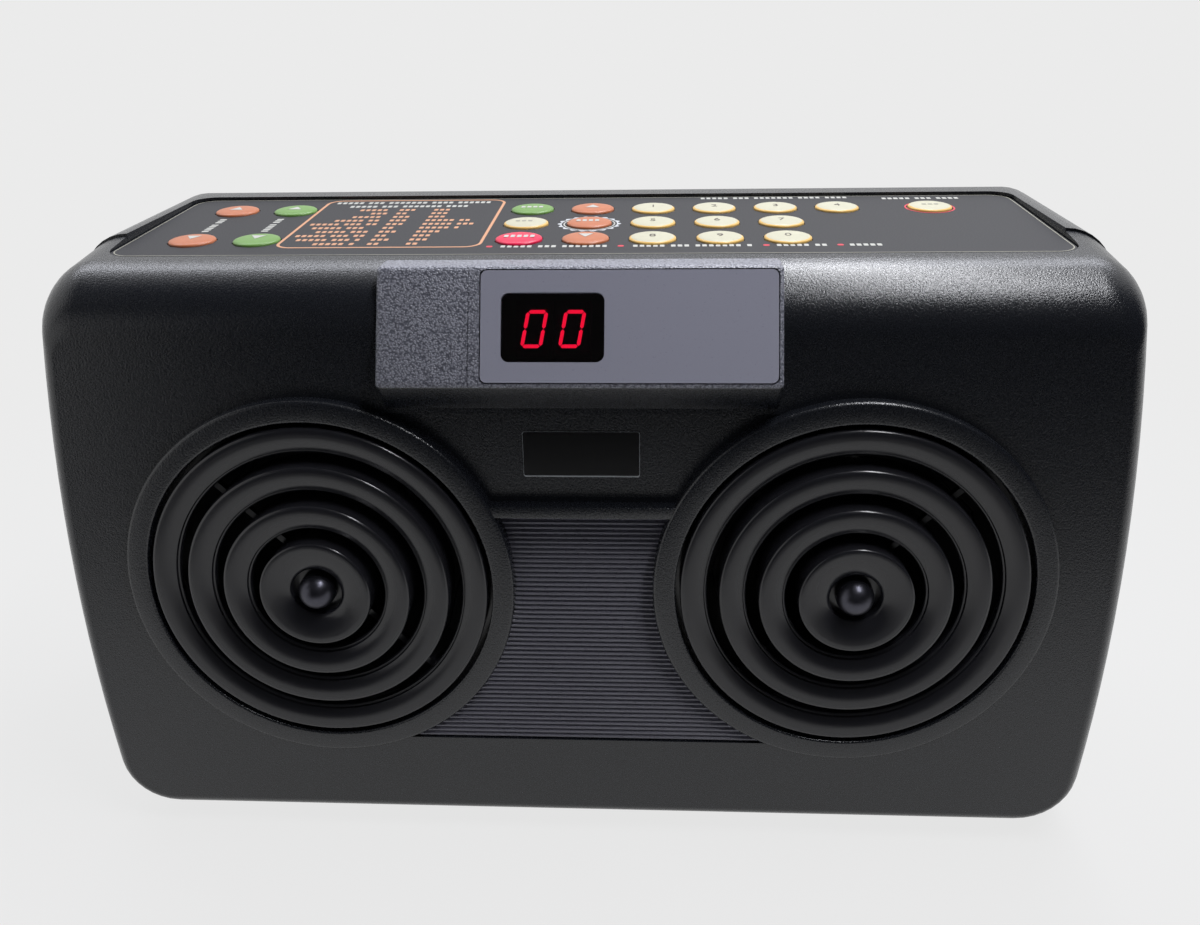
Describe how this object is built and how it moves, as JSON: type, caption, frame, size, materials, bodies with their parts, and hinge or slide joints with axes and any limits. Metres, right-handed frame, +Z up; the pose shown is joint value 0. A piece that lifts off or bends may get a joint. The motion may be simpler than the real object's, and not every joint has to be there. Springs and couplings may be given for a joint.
{
  "type": "electronic tabla",
  "caption": "Table-top electronic tabla with louvred speaker grilles, a tilted digit display and a key panel on top.",
  "frame": {"origin": "on the table, at the bottom centre of the bounding box", "axes": "+Z up, +X to the right seen from the front, +Y from the front to the back"},
  "size_m": [0.28, 0.114, 0.1606],
  "materials": {
    "grained_plastic": "black ABS with a fine moulded grain",
    "smooth_plastic": "black ABS, satin to gloss",
    "overlay_film": "matt charcoal film with printed outlines",
    "label_film": "satin grey label plate",
    "smoked_acrylic": "dark smoked window",
    "digit_plastic": "black seven-segment module with red segments",
    "circuit_board": "green solder mask",
    "brown_board": "brown phenolic board",
    "pressed_steel": "zinc plated pressed steel",
    "ferrite": "dark grey ferrite",
    "cone_paper": "black paper pulp",
    "foam": "black foam edge",
    "core_steel": "laminated steel with a taped winding",
    "foot_rubber": "black rubber",
    "zinc_steel": "bright nickel plate",
    "key_orange": "orange key",
    "key_green": "green key",
    "key_red": "red key",
    "key_cream": "cream key"
  },
  "bodies": {
    "housing": {"front_shell": "grained_plastic", "rear_shell": "grained_plastic", "key_panel": "smooth_plastic", "panel_overlay": "overlay_film", "keypad_board": "circuit_board", "display_label": "label_film", "display_window": "smoked_acrylic", "display_digit_left": "digit_plastic", "display_digit_right": "digit_plastic", "display_board": "circuit_board", "speaker_grille_left": "smooth_plastic", "speaker_frame_left": "pressed_steel", "speaker_magnet_left": "ferrite", "speaker_surround_left": "foam", "speaker_grille_right": "smooth_plastic", "speaker_frame_right": "pressed_steel", "speaker_magnet_right": "ferrite", "speaker_surround_right": "foam", "main_board": "brown_board", "power_transformer": "core_steel", "mains_inlet": "smooth_plastic", "power_switch_body": "smooth_plastic", "line_socket_left": "zinc_steel", "line_socket_right": "zinc_steel", "housing_screw_low_left": "zinc_steel", "housing_screw_high_left": "zinc_steel", "housing_screw_low_right": "zinc_steel", "housing_screw_high_right": "zinc_steel", "front_foot_left": "foot_rubber", "rear_foot_left": "foot_rubber", "front_foot_right": "foot_rubber", "rear_foot_right": "foot_rubber"},
    "level_up_key_body": {"level_up_key": "key_orange"},
    "level_down_key_body": {"level_down_key": "key_orange"},
    "pitch_up_key_body": {"pitch_up_key": "key_green"},
    "pitch_down_key_body": {"pitch_down_key": "key_green"},
    "play_key_body": {"play_key": "key_green"},
    "memory_key_body": {"memory_key": "key_cream"},
    "stop_key_body": {"stop_key": "key_red"},
    "tempo_up_key_body": {"tempo_up_key": "key_orange"},
    "select_key_body": {"select_key": "key_orange"},
    "tempo_down_key_body": {"tempo_down_key": "key_orange"},
    "number_1_key_body": {"number_1_key": "key_cream"},
    "number_2_key_body": {"number_2_key": "key_cream"},
    "number_3_key_body": {"number_3_key": "key_cream"},
    "number_4_key_body": {"number_4_key": "key_cream"},
    "number_5_key_body": {"number_5_key": "key_cream"},
    "number_6_key_body": {"number_6_key": "key_cream"},
    "number_7_key_body": {"number_7_key": "key_cream"},
    "number_8_key_body": {"number_8_key": "key_cream"},
    "number_9_key_body": {"number_9_key": "key_cream"},
    "number_0_key_body": {"number_0_key": "key_cream"},
    "tuning_key_body": {"tuning_key": "key_cream"},
    "speaker_cone_left_body": {"speaker_cone_left": "cone_paper"},
    "speaker_cone_right_body": {"speaker_cone_right": "cone_paper"},
    "power_switch_rocker_body": {"power_switch_rocker": "smooth_plastic"}
  },
  "joints": [
    {"name": "level_up_key_press", "type": "slide", "parent": "housing", "child": "level_up_key_body", "axis": [0, 0, -1], "range_m": [0, 0.0005], "stiffness_N_per_m": 3000},
    {"name": "level_down_key_press", "type": "slide", "parent": "housing", "child": "level_down_key_body", "axis": [0, 0, -1], "range_m": [0, 0.0005], "stiffness_N_per_m": 3000},
    {"name": "pitch_up_key_press", "type": "slide", "parent": "housing", "child": "pitch_up_key_body", "axis": [0, 0, -1], "range_m": [0, 0.0005], "stiffness_N_per_m": 3000},
    {"name": "pitch_down_key_press", "type": "slide", "parent": "housing", "child": "pitch_down_key_body", "axis": [0, 0, -1], "range_m": [0, 0.0005], "stiffness_N_per_m": 3000},
    {"name": "play_key_press", "type": "slide", "parent": "housing", "child": "play_key_body", "axis": [0, 0, -1], "range_m": [0, 0.0005], "stiffness_N_per_m": 3000},
    {"name": "memory_key_press", "type": "slide", "parent": "housing", "child": "memory_key_body", "axis": [0, 0, -1], "range_m": [0, 0.0005], "stiffness_N_per_m": 3000},
    {"name": "stop_key_press", "type": "slide", "parent": "housing", "child": "stop_key_body", "axis": [0, 0, -1], "range_m": [0, 0.0005], "stiffness_N_per_m": 3000},
    {"name": "tempo_up_key_press", "type": "slide", "parent": "housing", "child": "tempo_up_key_body", "axis": [0, 0, -1], "range_m": [0, 0.0005], "stiffness_N_per_m": 3000},
    {"name": "select_key_press", "type": "slide", "parent": "housing", "child": "select_key_body", "axis": [0, 0, -1], "range_m": [0, 0.0005], "stiffness_N_per_m": 3000},
    {"name": "tempo_down_key_press", "type": "slide", "parent": "housing", "child": "tempo_down_key_body", "axis": [0, 0, -1], "range_m": [0, 0.0005], "stiffness_N_per_m": 3000},
    {"name": "number_1_key_press", "type": "slide", "parent": "housing", "child": "number_1_key_body", "axis": [0, 0, -1], "range_m": [0, 0.0005], "stiffness_N_per_m": 3000},
    {"name": "number_2_key_press", "type": "slide", "parent": "housing", "child": "number_2_key_body", "axis": [0, 0, -1], "range_m": [0, 0.0005], "stiffness_N_per_m": 3000},
    {"name": "number_3_key_press", "type": "slide", "parent": "housing", "child": "number_3_key_body", "axis": [0, 0, -1], "range_m": [0, 0.0005], "stiffness_N_per_m": 3000},
    {"name": "number_4_key_press", "type": "slide", "parent": "housing", "child": "number_4_key_body", "axis": [0, 0, -1], "range_m": [0, 0.0005], "stiffness_N_per_m": 3000},
    {"name": "number_5_key_press", "type": "slide", "parent": "housing", "child": "number_5_key_body", "axis": [0, 0, -1], "range_m": [0, 0.0005], "stiffness_N_per_m": 3000},
    {"name": "number_6_key_press", "type": "slide", "parent": "housing", "child": "number_6_key_body", "axis": [0, 0, -1], "range_m": [0, 0.0005], "stiffness_N_per_m": 3000},
    {"name": "number_7_key_press", "type": "slide", "parent": "housing", "child": "number_7_key_body", "axis": [0, 0, -1], "range_m": [0, 0.0005], "stiffness_N_per_m": 3000},
    {"name": "number_8_key_press", "type": "slide", "parent": "housing", "child": "number_8_key_body", "axis": [0, 0, -1], "range_m": [0, 0.0005], "stiffness_N_per_m": 3000},
    {"name": "number_9_key_press", "type": "slide", "parent": "housing", "child": "number_9_key_body", "axis": [0, 0, -1], "range_m": [0, 0.0005], "stiffness_N_per_m": 3000},
    {"name": "number_0_key_press", "type": "slide", "parent": "housing", "child": "number_0_key_body", "axis": [0, 0, -1], "range_m": [0, 0.0005], "stiffness_N_per_m": 3000},
    {"name": "tuning_key_press", "type": "slide", "parent": "housing", "child": "tuning_key_body", "axis": [0, 0, -1], "range_m": [0, 0.0005], "stiffness_N_per_m": 3000},
    {"name": "speaker_cone_left_stroke", "type": "slide", "parent": "housing", "child": "speaker_cone_left_body", "axis": [0, -0.9973, 0.0741], "range_m": [-0.001, 0.001], "stiffness_N_per_m": 1500},
    {"name": "speaker_cone_right_stroke", "type": "slide", "parent": "housing", "child": "speaker_cone_right_body", "axis": [0, -0.9973, 0.0741], "range_m": [-0.001, 0.001], "stiffness_N_per_m": 1500},
    {"name": "power_switch_rock", "type": "hinge", "parent": "housing", "child": "power_switch_rocker_body", "pos_m": [-0.066, 0.05323, 0.034], "axis": [1, 0, 0], "range_deg": [-16, 0]}
  ]
}
